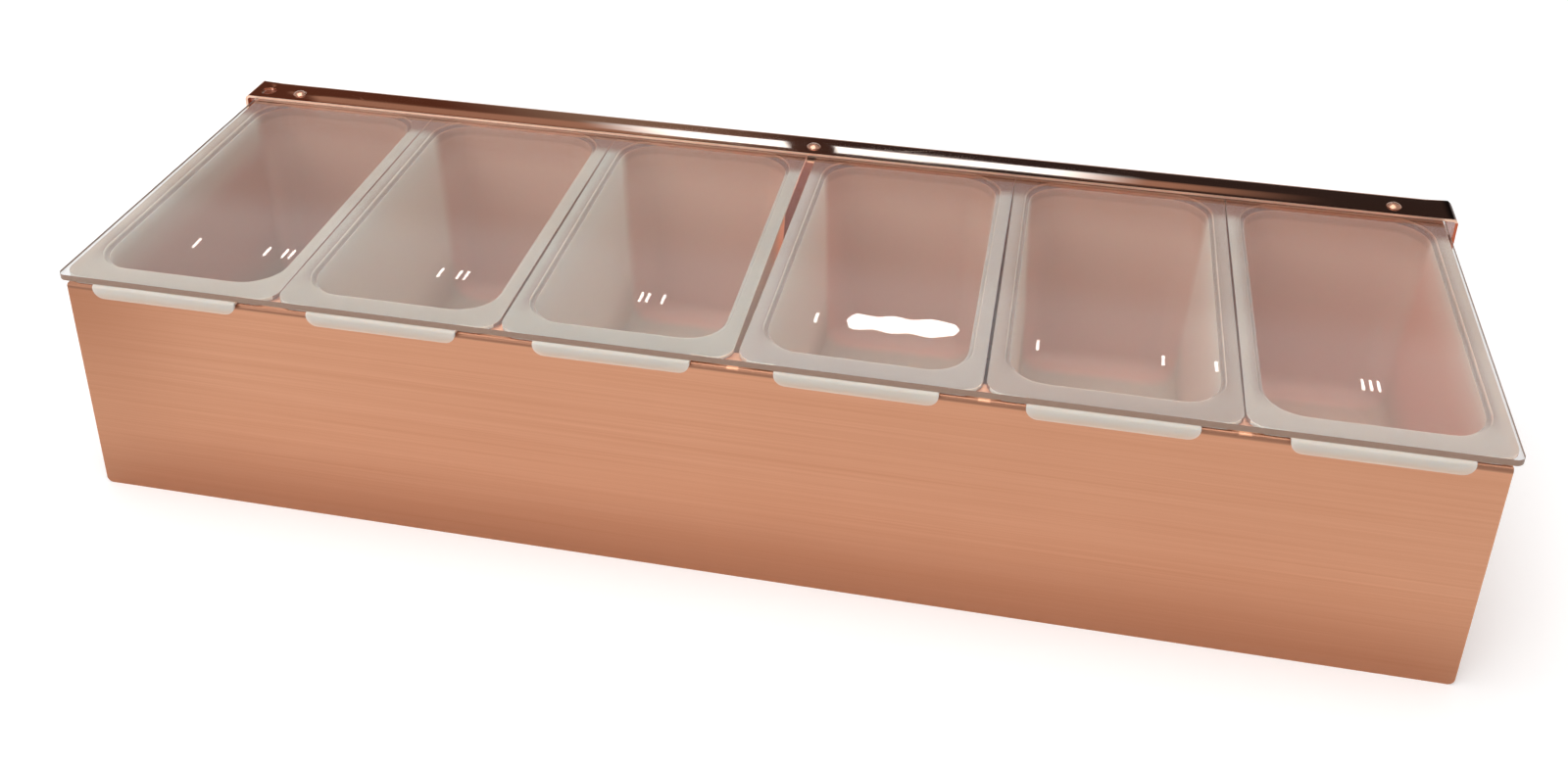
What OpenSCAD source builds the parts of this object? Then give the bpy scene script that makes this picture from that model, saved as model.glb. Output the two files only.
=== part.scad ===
// Six-place garnish tray: a folded sheet box, six lift-out inserts and a clear hinged lid.
// Millimetres, +X to the right, +Y to the back, +Z up, origin under the middle of the whole tray.

/* [Box] */
// Width over the end walls
box_w = 457; // [400:1:560]
// Depth from the front face to the rear face
box_d = 156; // [130:1:190]
// Height of the wall tops above the base
box_h = 82.9; // [60:1:110]
// Thickness of the metal sheet
sheet_t = 0.8; // [0.6:0.1:1]
// Outer radius of the bends between the base and the end walls
wrap_bend_r = 2.2; // [1.8:0.1:6]
// Depth of the welding flanges folded in from the front and rear panels
tuck_depth = 10; // [9:0.5:13]
// Width of the flange that the front rims rest on
front_flange_w = 8.3; // [7:0.1:10]
// Width of the flange that the rear rims rest on
rear_flange_w = 13.2; // [12:0.1:16]
// Height of the turned-down lip on both top flanges
flange_lip_h = 4; // [3:0.5:6]
// Outer radius of the top flange bends
flange_bend_r = 1.2; // [1:0.1:2]

/* [Inserts] */
// How far the outermost rims reach past the end walls
rim_end_overhang = 2; // [1:0.1:2.5]
// Thickness of the rim
rim_t = 1.5; // [1:0.1:2.5]
// Outer corner radius of the rim
rim_corner_r = 6.5; // [5:0.5:12]
// Set-back of the rim from the front face of the box
rim_front_inset = 1; // [0.5:0.1:2]
// Set-back of the rim from the rear face of the box
rim_rear_inset = 5.5; // [5.4:0.1:8]
// Width of the rim along the sides
rim_side_w = 5.4; // [5:0.1:8]
// Corner radius of the opening
opening_corner_r = 12.5; // [8:0.5:18]
// Wall thickness of the insert
insert_wall = 1.2; // [0.8:0.1:1.6]
// Space between the inserts and the base of the box
insert_floor_gap = 6.7; // [2:0.1:30]
// Draw-in of each wall from the rim down to the floor
insert_draft = 3; // [1:0.5:8]
// Radius between the insert's walls and its floor
insert_floor_r = 8; // [4:0.5:12]
// Gap between neighbouring rims
rim_gap = 0.3; // [0.1:0.1:0.6]
// Gap between the two middle rims
middle_gap = 3.2; // [0.3:0.1:4]
// Gap between an insert's body and the flanges beside it
body_clear = 0.7; // [0.3:0.1:1.5]

/* [Front tabs] */
// Width of the lift tab
tab_w = 51; // [30:1:56]
// Gap between the hanging tab and the front face
tab_hang_gap = 0.4; // [0.3:0.1:3]
// Thickness of the tab
tab_t = 1.4; // [1:0.1:1.8]
// Height of the tab from the rim's top to its lower edge
tab_h = 4.6; // [3:0.1:8]
// Radius of the tab's two lower corners
tab_corner_r = 4.4; // [1:0.1:6]

/* [Lid] */
// Thickness of the clear lid
lid_t = 2.1; // [1.9:0.1:5]
// How far the lid reaches past each end wall
lid_side_overhang = 2.5; // [2:0.1:4.5]
// How far the lid reaches past the front face
lid_front_overhang = 1; // [0.5:0.1:2]
// Corner radius of the lid
lid_corner_r = 3; // [1:0.5:10]
// Gap between the lid and the rims below it
lid_rest_gap = 0.3; // [0.2:0.1:0.8]

/* [Hinge strip] */
// Thickness of the strip's sheet
strip_t = 1; // [0.8:0.1:1.2]
// Width of the strip from front to back
strip_w = 16.3; // [15:0.1:20]
// How far the strip reaches past the rear face
strip_rear_overhang = 2.8; // [2.4:0.1:5]
// Outer radius of the strip's bends
strip_bend_r = 2; // [1.5:0.1:3]
// Gap from an end wall to the ear's inner face
ear_standoff = 6; // [5.5:0.1:8]
// Radius of the strip's rear left corner seen from above
strip_left_corner_r = 1; // [0.5:0.5:3]
// Radius of the strip's rear right corner seen from above
strip_right_corner_r = 5.5; // [1:0.5:6]
// Depth of the strip's rear lip below the strip's top
strip_lip_h = 7.6; // [4:0.1:8.5]
// Gap between the lid's rear edge and the bend of the strip's lip
lip_gap = 0.2; // [0.1:0.1:1]
// Radius of the hole that the strip hangs from while it is plated
rack_hole_r = 3.2; // [1:0.1:4]
// Distance of that hole from the strip's left end
rack_hole_inset = 7.7; // [6:0.1:12]

/* [Hinge pins] */
// Height of the pin axis below the wall tops
pin_drop = 10.9; // [9:0.1:20]
// Radius of the pin
pin_r = 2; // [1.5:0.1:2.5]
// Running gap around the pin and around the rivets
hole_clear = 0.05; // [0.02:0.01:0.1]
// Radius of the pin's domed head
pin_head_r = 4.4; // [3.5:0.1:6]
// Height of the pin's domed head
pin_head_h = 1.8; // [1:0.1:3]
// Radius of the tail that is clenched inside the box
pin_tail_r = 3.1; // [2.8:0.1:4]
// Height of the clenched tail
pin_tail_h = 1.2; // [0.8:0.1:2]
// Radius of the spacer bush between ear and end wall
bush_r = 3.6; // [3:0.1:5]
// Radius of the backing washer inside the box
washer_r = 4; // [3.5:0.1:4.4]
// Thickness of the backing washer
washer_t = 0.8; // [0.5:0.1:1.2]
// Side gap between an ear and what lies beside it
ear_clear = 0.3; // [0.2:0.1:0.6]

/* [Lid rivets] */
// Distance of the outer rivets from the strip's ends
rivet_end_inset = 21.5; // [16:0.5:60]
// Distance of the rivets from the strip's front edge
rivet_inset = 6; // [4:0.1:9]
// Radius of the rivet's shank
rivet_r = 1.6; // [1:0.1:2]
// Radius of the rivet's domed head
rivet_head_r = 2.7; // [2.2:0.1:4]
// Height of the rivet's domed head
rivet_head_h = 1.3; // [0.8:0.1:2]
// Radius of the rivet's tail, sunk into the lid
rivet_tail_r = 2.9; // [2.3:0.1:3.5]
// Depth of the tail's recess in the lid's underside
rivet_tail_h = 1.2; // [0.6:0.1:1.8]

/* [Hidden] */

copper = [0.80, 0.52, 0.40];
mirror_copper = [0.60, 0.34, 0.24];
frosted = [0.86, 0.84, 0.80, 0.8];
clear_sheet = [0.85, 0.92, 0.95, 0.35];
cut = 1;
round_fn = 48;
shell_fn = 32;
pin_fn = 64;
floor_steps = 4;

// Front and rear faces of the box, set so that the whole tray is centred on the origin
tab_reach = tab_hang_gap + tab_t;
mid_shift = (strip_rear_overhang - tab_reach) / 2;
front_y = -box_d / 2 - mid_shift;
rear_y = box_d / 2 - mid_shift;
half_w = box_w / 2;

// Heights, from the wall tops upwards
rim_top = box_h + rim_t;
lid_bottom = rim_top + lid_rest_gap;
lid_top = lid_bottom + lid_t;
strip_top = lid_top + strip_t;

// Strip, ears and pins
ear_inner_x = half_w + ear_standoff;
ear_outer_x = ear_inner_x + strip_t;
strip_rear = rear_y + strip_rear_overhang;
strip_front = strip_rear - strip_w;
pin_y = strip_rear - strip_w / 2;
pin_z = box_h - pin_drop;
rivet_x = ear_outer_x - rivet_end_inset;
rivet_y = strip_front + rivet_inset;
rack_hole_x = -ear_outer_x + rack_hole_inset;

// Lid outline
lid_front = front_y - lid_front_overhang;
lid_rear = strip_rear - strip_bend_r - lip_gap;
lid_half_w = half_w + lid_side_overhang;

// Insert outline, first around the rim and then around the body below it
insert_count = 6;
rims_total = box_w + 2 * rim_end_overhang - middle_gap - (insert_count - 2) * rim_gap;
rim_w = rims_total / insert_count;
rim_front = front_y + rim_front_inset;
rim_rear = rear_y - rim_rear_inset;
body_front = front_y + front_flange_w + body_clear;
body_rear = rear_y - rear_flange_w - body_clear;
body_w = rim_w - 2 * rim_side_w + 2 * insert_wall;
body_d = body_rear - body_front;
body_mid_y = (body_front + body_rear) / 2;
body_corner_r = opening_corner_r + insert_wall;
insert_bottom = sheet_t + insert_floor_gap;
tab_front = front_y - tab_reach;
insert_pitch = rim_w + rim_gap;

function insert_x(i) = (i - (insert_count - 1) / 2) * insert_pitch
    + (i < insert_count / 2 ? -1 : 1) * (middle_gap - rim_gap) / 2;

// Flat rectangle between two corners
module sheet_rect(x0, x1, y0, y1) {
    translate([x0, y0]) square([x1 - x0, y1 - y0]);
}

// Flat rectangle whose four corners are round
module round_rect(x0, x1, y0, y1, r, fn = round_fn) {
    sheet_rect(x0 + r, x1 - r, y0, y1);
    sheet_rect(x0, x1, y0 + r, y1 - r);
    for (x = [x0 + r, x1 - r], y = [y0 + r, y1 - r])
        translate([x, y]) circle(r, $fn = fn);
}

// A corner at a point, rounded away from the flat shape that is given; sx and sy point into the shape
module corner_cut(x, y, r, sx, sy) {
    difference() {
        translate([x + (sx > 0 ? -cut : -r), y + (sy > 0 ? -cut : -r)]) square(r + cut);
        translate([x + sx * r, y + sy * r]) circle(r, $fn = round_fn);
    }
}

// Extrusions of a flat drawing: along Y from a drawing in X and Z, along X from one in Y and Z
module along_y(y0, y1) {
    translate([0, y1, 0]) rotate([90, 0, 0]) linear_extrude(y1 - y0) children();
}

module along_x(x0, x1) {
    translate([x0, 0, 0]) rotate([90, 0, 90]) linear_extrude(x1 - x0) children();
}

module between(z0, z1) {
    translate([0, 0, z0]) linear_extrude(z1 - z0) children();
}

// Outline of the box seen from the front, drawn in by a margin, up to a given top
module box_outline(margin, top) {
    r = wrap_bend_r - margin;
    difference() {
        sheet_rect(-half_w + margin, half_w - margin, margin, top);
        for (s = [-1, 1]) corner_cut(s * (half_w - margin), margin, r, -s, 1);
    }
}

// A round bar along X at a hinge height, from x0 to x1
module hinge_bar(x0, x1, r) {
    translate([x0, pin_y, pin_z]) rotate([0, 90, 0]) cylinder(h = x1 - x0, r = r, $fn = pin_fn);
}

// The same bar on the left or the right side, from a distance a to a distance b from the middle
module side_bar(s, a, b, r) {
    hinge_bar(s > 0 ? a : -b, s > 0 ? b : -a, r);
}

// Base and both end walls, folded from one sheet
module body_wrap() {
    color(copper) difference() {
        along_y(front_y + sheet_t, rear_y - sheet_t) difference() {
            box_outline(0, box_h);
            box_outline(sheet_t, box_h + cut);
        }
        for (s = [-1, 1]) side_bar(s, half_w - sheet_t - cut, half_w + cut, pin_r + hole_clear);
    }
}

// Panel with a top flange and lip, and with welding flanges inside the wrap; s is 1 at the front, -1 at the rear
module box_panel(face_y, s, flange_w) {
    inner_y = face_y + s * sheet_t;
    flange_y = face_y + s * flange_w;
    lip_y = flange_y - s * sheet_t;
    tuck_y = inner_y + s * tuck_depth;
    inner_r = flange_bend_r - sheet_t;
    lip_z = box_h - flange_lip_h;
    flange_half_w = half_w - sheet_t - hole_clear;
    // Flat face
    intersection() {
        along_y(min(face_y, inner_y), max(face_y, inner_y)) box_outline(0, box_h);
        along_x(-half_w, half_w) difference() {
            sheet_rect(min(face_y, inner_y), max(face_y, inner_y), 0, box_h);
            corner_cut(face_y, box_h, flange_bend_r, s, -1);
        }
    }
    // Top flange and its lip
    along_x(-flange_half_w, flange_half_w) difference() {
        sheet_rect(min(inner_y, flange_y), max(inner_y, flange_y), lip_z, box_h);
        sheet_rect(min(inner_y, lip_y), max(inner_y, lip_y), lip_z - cut, box_h - sheet_t);
        corner_cut(flange_y, box_h, flange_bend_r, -s, -1);
    }
    // Welding flange along the base and both end walls
    along_y(min(inner_y, tuck_y), max(inner_y, tuck_y)) difference() {
        box_outline(sheet_t, lip_z - cut);
        box_outline(2 * sheet_t, lip_z);
    }
}

module front_panel() {
    color(copper) box_panel(front_y, 1, front_flange_w);
}

module rear_panel() {
    color(copper) difference() {
        box_panel(rear_y, -1, rear_flange_w);
        for (s = [-1, 1]) side_bar(s, half_w - 2 * sheet_t - cut, half_w - sheet_t + cut, pin_r + hole_clear);
    }
}

// Solid of an insert's body: drafted walls that turn into the floor through a round edge
module insert_body(margin, top, bottom) {
    w = body_w - 2 * margin;
    d = body_d - 2 * margin;
    r = body_corner_r - margin;
    floor_r = insert_floor_r - margin;
    hull() {
        between(top - 0.01, top) translate([0, body_mid_y]) insert_slice(w, d, r, 0);
        for (k = [0:floor_steps]) {
            turn = 90 * k / floor_steps;
            rise = floor_r * (1 - sin(turn));
            inset = insert_draft + floor_r * (1 - cos(turn));
            between(bottom + rise, bottom + rise + 0.01)
                translate([0, body_mid_y]) insert_slice(w, d, r, inset);
        }
    }
}

module insert_slice(w, d, r, inset) {
    x = w / 2 - inset;
    y = d / 2 - inset;
    round_rect(-x, x, -y, y, max(r - inset / 2, 1), shell_fn);
}

// Lift-out insert with its resting rim and the tab that hangs over the front wall
module insert_cup(i) {
    x = insert_x(i);
    color(frosted) translate([x, 0, 0]) difference() {
        union() {
            between(box_h, rim_top) round_rect(-rim_w / 2, rim_w / 2, rim_front, rim_rear, rim_corner_r);
            insert_body(0, rim_top, insert_bottom);
            between(box_h, rim_top)
                sheet_rect(-tab_w / 2, tab_w / 2, tab_front, rim_front + rim_corner_r);
            along_y(tab_front, front_y - tab_hang_gap) difference() {
                sheet_rect(-tab_w / 2, tab_w / 2, rim_top - tab_h, rim_top);
                for (s = [-1, 1]) corner_cut(s * tab_w / 2, rim_top - tab_h, min(tab_corner_r, tab_h - 0.2), -s, 1);
            }
        }
        insert_body(insert_wall, rim_top + cut, insert_bottom + insert_wall);
    }
}

// Domed rivet head: a cap that is r wide and h high on the plane z = 0
module dome(r, h) {
    ball_r = (r * r + h * h) / (2 * h);
    rotate_extrude($fn = pin_fn) intersection() {
        translate([0, h - ball_r]) circle(ball_r, $fn = pin_fn);
        square([r, h]);
    }
}

// Shouldered hinge pin: head outside the ear, shank through ear, bush and wall, tail over the washer
module hinge_pin(s) {
    head_x = ear_outer_x + ear_clear;
    tail_x = half_w - 2 * sheet_t - washer_t;
    color(mirror_copper) {
        side_bar(s, tail_x - pin_tail_h, head_x, pin_r);
        side_bar(s, tail_x - pin_tail_h, tail_x, pin_tail_r);
        translate([s * head_x, pin_y, pin_z]) rotate([0, s * 90, 0]) dome(pin_head_r, pin_head_h);
    }
}

module spacer_bush(s) {
    color(copper) difference() {
        side_bar(s, half_w, ear_inner_x - ear_clear, bush_r);
        side_bar(s, half_w - cut, ear_inner_x + cut, pin_r + hole_clear);
    }
}

module backing_washer(s) {
    outer_x = half_w - 2 * sheet_t;
    color("silver") difference() {
        side_bar(s, outer_x - washer_t, outer_x, washer_r);
        side_bar(s, outer_x - washer_t - cut, outer_x + cut, pin_r + hole_clear);
    }
}

// Upright hole for a lid rivet
module rivet_hole(x, z0, z1, r) {
    translate([x, rivet_y, z0]) cylinder(h = z1 - z0, r = r, $fn = pin_fn);
}

module lid_panel() {
    color(clear_sheet) difference() {
        between(lid_bottom, lid_top) round_rect(-lid_half_w, lid_half_w, lid_front, lid_rear, lid_corner_r);
        for (x = [-rivet_x, 0, rivet_x]) {
            rivet_hole(x, lid_bottom - cut, lid_top + cut, rivet_r + hole_clear);
            rivet_hole(x, lid_bottom - cut, lid_bottom + rivet_tail_h, rivet_tail_r + hole_clear);
        }
    }
}

// Strip drawn from the end: a flat top with a lip at the rear, rounded where the sheet turns down
module strip_side(margin, low) {
    difference() {
        sheet_rect(strip_front - (margin > 0 ? cut : 0), strip_rear - margin, low, strip_top - margin);
        corner_cut(strip_rear - margin, strip_top - margin, strip_bend_r - margin, -1, -1);
    }
}

// Strip drawn from the front: a flat top whose two ends turn down into the ears
module strip_end_view(margin, low) {
    difference() {
        sheet_rect(-ear_outer_x + margin, ear_outer_x - margin, low, strip_top - margin);
        for (s = [-1, 1])
            corner_cut(s * (ear_outer_x - margin), strip_top - margin, strip_bend_r - margin, -s, -1);
    }
}

// Strip seen from above, with its two unlike rear corners
module strip_plan(margin) {
    difference() {
        sheet_rect(-ear_outer_x + margin, ear_outer_x - margin,
            strip_front - (margin > 0 ? cut : 0), strip_rear - margin);
        corner_cut(-ear_outer_x + margin, strip_rear - margin, max(strip_left_corner_r - margin, 0.1), 1, -1);
        corner_cut(ear_outer_x - margin, strip_rear - margin, max(strip_right_corner_r - margin, 0.1), -1, -1);
    }
}

module strip_block(margin, low) {
    intersection() {
        along_x(-ear_outer_x, ear_outer_x) strip_side(margin, low);
        along_y(strip_front - cut, strip_rear) strip_end_view(margin, low);
        between(low, strip_top) strip_plan(margin);
    }
}

// Ear outline from the side, from the strip's top down round the pin
module ear_outline() {
    sheet_rect(strip_front, strip_rear, pin_z, strip_top + cut);
    translate([pin_y, pin_z]) circle(strip_w / 2, $fn = pin_fn);
}

// Polished strip on the lid's rear edge, with a lip behind and an ear at each end
module hinge_strip() {
    low = pin_z - strip_w / 2 - cut;
    color(mirror_copper) difference() {
        strip_block(0, low);
        strip_block(strip_t, low - cut);
        // What lies below the lip, all but the two ears
        translate([-ear_inner_x, strip_front - cut, low - cut])
            cube([2 * ear_inner_x, strip_w + 2 * cut, strip_top - strip_lip_h - low + cut]);
        // What lies outside the ears' round ends
        along_x(-ear_outer_x - cut, ear_outer_x + cut) difference() {
            sheet_rect(strip_front - cut, strip_rear + cut, low - cut, strip_top + cut / 2);
            ear_outline();
        }
        for (s = [-1, 1]) side_bar(s, ear_inner_x - cut, ear_outer_x + cut, pin_r + hole_clear);
        for (x = [-rivet_x, 0, rivet_x]) rivet_hole(x, lid_top - cut, strip_top + cut, rivet_r + hole_clear);
        translate([rack_hole_x, rivet_y, lid_top - cut]) cylinder(h = strip_t + 2 * cut, r = rack_hole_r, $fn = pin_fn);
    }
}

// Rivet through strip and lid, its tail sunk flush into the lid's underside
module lid_rivet(x) {
    color(mirror_copper) {
        translate([x, rivet_y, strip_top]) dome(rivet_head_r, rivet_head_h);
        rivet_hole(x, lid_bottom, strip_top, rivet_r);
        rivet_hole(x, lid_bottom, lid_bottom + rivet_tail_h, rivet_tail_r);
    }
}

body_wrap();
front_panel();
rear_panel();
insert_cup(0);  // insert_1
insert_cup(1);  // insert_2
insert_cup(2);  // insert_3
insert_cup(3);  // insert_4
insert_cup(4);  // insert_5
insert_cup(5);  // insert_6
hinge_pin(-1);  // hinge_pin_left
hinge_pin(1);  // hinge_pin_right
spacer_bush(-1);  // spacer_bush_left
spacer_bush(1);  // spacer_bush_right
backing_washer(-1);  // backing_washer_left
backing_washer(1);  // backing_washer_right
lid_panel();
hinge_strip();
lid_rivet(-rivet_x);  // lid_rivet_left
lid_rivet(0);  // lid_rivet_middle
lid_rivet(rivet_x);  // lid_rivet_right
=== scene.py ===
import math
import bpy
import bmesh
from mathutils import Matrix, Vector


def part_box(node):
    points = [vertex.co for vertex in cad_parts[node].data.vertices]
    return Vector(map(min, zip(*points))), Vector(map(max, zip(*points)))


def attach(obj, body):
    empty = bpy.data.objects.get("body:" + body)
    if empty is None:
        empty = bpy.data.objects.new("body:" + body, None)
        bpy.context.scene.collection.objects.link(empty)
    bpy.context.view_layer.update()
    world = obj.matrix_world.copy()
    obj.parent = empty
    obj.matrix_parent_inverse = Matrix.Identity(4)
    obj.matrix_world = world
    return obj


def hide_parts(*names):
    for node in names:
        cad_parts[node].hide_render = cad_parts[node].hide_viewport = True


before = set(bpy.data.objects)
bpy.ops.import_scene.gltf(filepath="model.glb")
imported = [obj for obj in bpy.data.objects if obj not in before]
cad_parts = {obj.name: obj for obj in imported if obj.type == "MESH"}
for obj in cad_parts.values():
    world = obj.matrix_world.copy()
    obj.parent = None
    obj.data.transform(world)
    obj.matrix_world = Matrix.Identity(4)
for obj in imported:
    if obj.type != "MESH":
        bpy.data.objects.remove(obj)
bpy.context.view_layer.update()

mm = 0.001
cad = {name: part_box(name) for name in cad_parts}
print("frame loaded:", len(cad), "CAD pieces")


# Helpers for shader trees

def newGroup(name, inputs, outputs):
    group = bpy.data.node_groups.new(name, "ShaderNodeTree")
    for label, kind, value in inputs:
        socket = group.interface.new_socket(name=label, in_out="INPUT", socket_type=kind)
        socket.default_value = value
    for label, kind in outputs:
        group.interface.new_socket(name=label, in_out="OUTPUT", socket_type=kind)
    source = group.nodes.new("NodeGroupInput")
    result = group.nodes.new("NodeGroupOutput")
    return group, source, result


def addNode(tree, kind, settings=None, **values):
    # values go to the sockets of those names, or to sockets 0, 1, 2 where they are called i0, i1, i2
    node = tree.nodes.new(kind)
    for key, value in (settings or {}).items():
        setattr(node, key, value)
    for label, value in values.items():
        byNumber = label[0] == "i" and label[1:].isdigit()
        socket = node.inputs[int(label[1:]) if byNumber else label.replace("_", " ")]
        if isinstance(value, bpy.types.NodeSocket):
            tree.links.new(value, socket)
        else:
            socket.default_value = value
    return node


def calc(tree, operation, first, second=0.0, third=0.0, clamp=False):
    node = addNode(tree, "ShaderNodeMath", {"operation": operation, "use_clamp": clamp}, i0=first, i1=second)
    if operation in ("MULTIPLY_ADD", "SMOOTH_MIN", "COMPARE"):
        if isinstance(third, bpy.types.NodeSocket):
            tree.links.new(third, node.inputs[2])
        else:
            node.inputs[2].default_value = third
    return node.outputs[0]


def ramp(tree, value, low, high, toLow=0.0, toHigh=1.0):
    node = addNode(tree, "ShaderNodeMapRange", {"interpolation_type": "SMOOTHSTEP"}, Value=value)
    for label, number in (("From Min", low), ("From Max", high), ("To Min", toLow), ("To Max", toHigh)):
        node.inputs[label].default_value = number
    return node.outputs[0]


def rampFrom(tree, value, origin, reach, toLow=0.0, toHigh=1.0):
    # a ramp between two distances from an edge of the part
    return ramp(tree, value, origin + reach[0], origin + reach[1], toLow, toHigh)


def overlap(tree, first, second):
    return calc(tree, "MULTIPLY", first, second)


def joined(tree, first, second):
    return calc(tree, "MAXIMUM", first, second)


def opposite(tree, mask):
    return calc(tree, "SUBTRACT", 1.0, mask)


def mixColour(tree, factor, first, second, blend="MIX"):
    node = tree.nodes.new("ShaderNodeMix")
    node.data_type = "RGBA"
    node.blend_type = blend
    for index, value in ((0, factor), (6, first), (7, second)):
        if isinstance(value, bpy.types.NodeSocket):
            tree.links.new(value, node.inputs[index])
        else:
            node.inputs[index].default_value = value
    return node.outputs[2]


def objectPlace(tree):
    return addNode(tree, "ShaderNodeTexCoord").outputs["Object"]


def placeAxes(tree):
    return addNode(tree, "ShaderNodeSeparateXYZ", None, Vector=objectPlace(tree)).outputs


def normalAxes(tree):
    normal = addNode(tree, "ShaderNodeTexCoord").outputs["Normal"]
    return addNode(tree, "ShaderNodeSeparateXYZ", None, Vector=normal).outputs


def stretched(tree, place, scale):
    return addNode(tree, "ShaderNodeVectorMath", {"operation": "MULTIPLY"}, i0=place, i1=scale).outputs[0]


def noiseValue(tree, place, scale, detail=2.0, roughness=0.5):
    return addNode(tree, "ShaderNodeTexNoise", None, Vector=place, Scale=scale, Detail=detail,
                   Roughness=roughness).outputs[0]


def addBump(tree, shader, height, bump):
    strength, distance = bump
    node = addNode(tree, "ShaderNodeBump", None, Strength=strength, Distance=distance, Height=height)
    tree.links.new(node.outputs[0], shader.inputs["Normal"])


# Effects that several materials share

grainLook = {"detail": 3.0, "roughness": 0.6, "broadStretch": (0.5, 0.45, 0.45), "broadShare": 0.40}


def makeBrushGrain():
    # long fine lines; Stretch holds how many lines there are per metre along each axis
    look = grainLook
    group, source, result = newGroup(
        "brushGrain",
        [("Stretch", "NodeSocketVector", (8.0, 1500.0, 1500.0)), ("Contrast", "NodeSocketFloat", 1.0)],
        [("Lines", "NodeSocketFloat"), ("Height", "NodeSocketFloat")])
    lines = stretched(group, objectPlace(group), source.outputs[0])
    fine = noiseValue(group, lines, 1.0, look["detail"], look["roughness"])
    broad = noiseValue(group, stretched(group, lines, look["broadStretch"]), 1.0)
    share = look["broadShare"]
    both = calc(group, "MULTIPLY_ADD", broad, share, overlap(group, fine, 1 - share))
    spread = overlap(group, calc(group, "SUBTRACT", both, 0.5), source.outputs[1])
    group.links.new(calc(group, "ADD", spread, 0.5, clamp=True), result.inputs[0])
    group.links.new(both, result.inputs[1])
    return group


wearLook = {"samples": 4, "edge": (0.99, 0.85), "breakDetail": 3.0, "breakUp": (0.35, 0.6, 0.35, 1.0)}


def makeEdgeWear():
    # pale, rubbed edges: where a rounded normal leaves the true one
    look = wearLook
    group, source, result = newGroup(
        "edgeWear",
        [("Reach", "NodeSocketFloat", 0.0006), ("Break Up", "NodeSocketFloat", 300.0)],
        [("Mask", "NodeSocketFloat")])
    rounded = addNode(group, "ShaderNodeBevel", {"samples": look["samples"]}, Radius=source.outputs[0])
    match = addNode(group, "ShaderNodeVectorMath", {"operation": "DOT_PRODUCT"}, i0=rounded.outputs[0],
                    i1=addNode(group, "ShaderNodeNewGeometry").outputs["Normal"])
    edge = ramp(group, match.outputs["Value"], *look["edge"])
    breakUp = noiseValue(group, objectPlace(group), source.outputs[1], look["breakDetail"])
    group.links.new(overlap(group, edge, ramp(group, breakUp, *look["breakUp"])), result.inputs[0])
    return group


smudgeLook = {"detail": 3.0, "roughness": 0.55, "streaks": (5.0, 40.0, 40.0), "streakShare": 0.35,
              "contrast": 2.2}


def makeSmudges():
    # broad soft marks from hands and cloths
    look = smudgeLook
    group, source, result = newGroup(
        "smudges",
        [("Size", "NodeSocketFloat", 14.0), ("Bias", "NodeSocketFloat", 0.5)],
        [("Mask", "NodeSocketFloat")])
    place = objectPlace(group)
    broad = noiseValue(group, place, source.outputs[0], look["detail"], look["roughness"])
    streak = noiseValue(group, stretched(group, place, look["streaks"]), 1.0, look["detail"])
    share = look["streakShare"]
    both = calc(group, "MULTIPLY_ADD", streak, share, overlap(group, broad, 1 - share))
    centred = calc(group, "SUBTRACT", both, source.outputs[1])
    group.links.new(calc(group, "MULTIPLY_ADD", centred, look["contrast"], 0.5, clamp=True), result.inputs[0])
    return group


scratchLook = {"wanderSize": 9.0, "wander": 3.0, "line": (0.02, 0.0), "patchSize": 30.0,
               "patch": (0.52, 0.62)}


def makeScratches():
    # sparse hairline scratches
    look = scratchLook
    group, source, result = newGroup(
        "scratches",
        [("Stretch", "NodeSocketVector", (18.0, 260.0, 260.0)), ("Amount", "NodeSocketFloat", 0.5)],
        [("Mask", "NodeSocketFloat")])
    place = objectPlace(group)
    wander = overlap(group, noiseValue(group, place, look["wanderSize"], 1.0), look["wander"])
    drawn = stretched(group, place, source.outputs[0])
    shifted = addNode(group, "ShaderNodeVectorMath", {"operation": "ADD"}, i0=drawn, i1=wander).outputs[0]
    cells = addNode(group, "ShaderNodeTexVoronoi", {"feature": "DISTANCE_TO_EDGE"}, Vector=shifted, Scale=1.0)
    line = ramp(group, cells.outputs["Distance"], *look["line"])
    sparse = ramp(group, noiseValue(group, place, look["patchSize"]), *look["patch"])
    group.links.new(overlap(group, overlap(group, line, sparse), source.outputs[1]), result.inputs[0])
    return group


grainGroup = makeBrushGrain()
wearGroup = makeEdgeWear()
smudgeGroup = makeSmudges()
scratchGroup = makeScratches()
print("shared effects built")


def placeGroup(tree, group, **values):
    node = tree.nodes.new("ShaderNodeGroup")
    node.node_tree = group
    for label, value in values.items():
        node.inputs[label.replace("_", " ")].default_value = value
    return node


def newMaterial(name, **values):
    material = bpy.data.materials.new(name)
    material.use_nodes = True
    tree = material.node_tree
    shader = tree.nodes["Principled BSDF"]
    for label, value in values.items():
        shader.inputs[label.replace("_", " ")].default_value = value
    return material, tree, shader


# Materials
# A row of numbers such as foot or rear is a ramp: where it starts and ends, and in longer rows its values.
# Places are in metres, from the edge that the code names; turned and upward go by how far a face looks up.
# A roughness pair gives the smoothest and the roughest, and bump a strength and a depth.

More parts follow.
